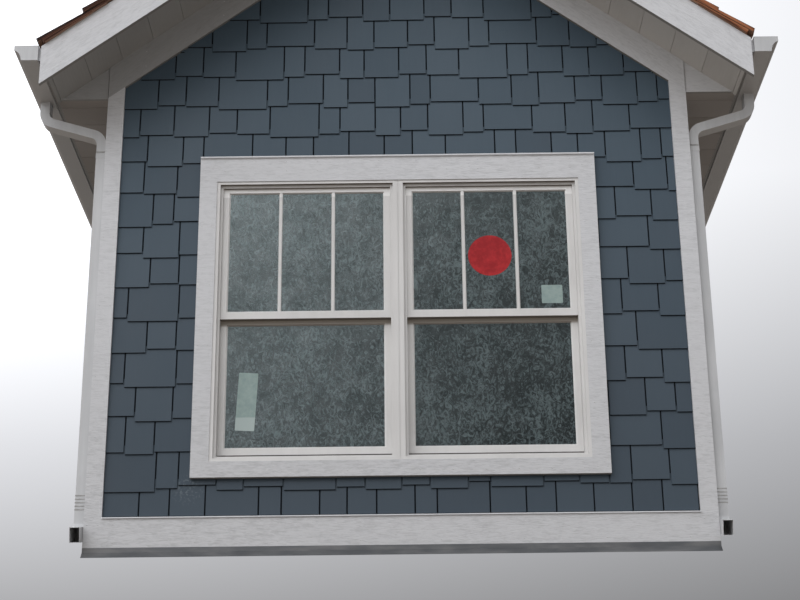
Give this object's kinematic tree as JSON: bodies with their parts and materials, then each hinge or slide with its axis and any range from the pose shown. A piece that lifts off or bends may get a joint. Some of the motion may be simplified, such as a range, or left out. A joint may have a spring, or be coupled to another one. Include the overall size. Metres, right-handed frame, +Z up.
{
  "type": "gabled dormer window",
  "caption": "Gabled roof dormer with twin double-hung windows, staggered shingle siding, white trim, shake roof, gutters and downspouts.",
  "frame": {"origin": "middle of the front wall's bevelled sole, on the plane of the main roof deck that it stands on", "axes": "+X to the right seen from outside, +Y into the house, along the ridge, +Z up"},
  "size_m": [4.002, 4.5122, 4.0687],
  "materials": {
    "framing": "bare sawn softwood",
    "wall": "framed wall, boarded and primed",
    "deck": "bare panel",
    "shakes": "split and sawn red-brown shakes, weathered",
    "siding": "slate blue-grey paint, low sheen",
    "trim": "pale grey-white paint over embossed grain",
    "soffit": "pale grey paint, low sheen",
    "window": "smooth stone white, satin",
    "glass": "clear, dark room behind",
    "rainwater": "white baked enamel, satin",
    "flashing": "dark grey coated sheet",
    "drip_metal": "white coated sheet"
  },
  "bodies": {
    "root": {"front_wall": "wall", "ridge_board": "framing", "ridge_cap": "shakes", "base_board": "trim", "base_drip": "drip_metal", "siding_front": "siding", "window_casing": "trim", "casing_drip_cap": "drip_metal", "window_frame": "window", "apron_flashing": "flashing", "cheek_wall_left": "wall", "cheek_wall_right": "wall", "valley_sleeper_left": "framing", "valley_sleeper_right": "framing", "rafters_left": "framing", "rafters_right": "framing", "rake_ladder_left": "framing", "rake_ladder_right": "framing", "roof_deck_left": "deck", "roof_deck_right": "deck", "roof_shakes_left": "shakes", "roof_shakes_right": "shakes", "fascia_left": "trim", "fascia_right": "trim", "eave_soffit_left": "soffit", "eave_soffit_right": "soffit", "eave_return_left": "trim", "eave_return_right": "trim", "rake_soffit_left": "soffit", "rake_soffit_right": "soffit", "bargeboard_left": "trim", "bargeboard_right": "trim", "frieze_left": "trim", "frieze_right": "trim", "corner_board_left": "trim", "corner_board_right": "trim", "siding_cheek_left": "siding", "siding_cheek_right": "siding", "sash_upper_left": "window", "sash_upper_right": "window", "sash_lower_left": "window", "sash_lower_right": "window", "glass_upper_left": "glass", "glass_upper_right": "glass", "glass_lower_left": "glass", "glass_lower_right": "glass", "step_flashing_left": "flashing", "step_flashing_right": "flashing", "gutter_left": "rainwater", "gutter_right": "rainwater", "gutter_caps_left": "rainwater", "gutter_caps_right": "rainwater", "downspout_left": "rainwater", "downspout_right": "rainwater", "downspout_strap_left": "rainwater", "downspout_strap_right": "rainwater"}
  },
  "joints": []
}
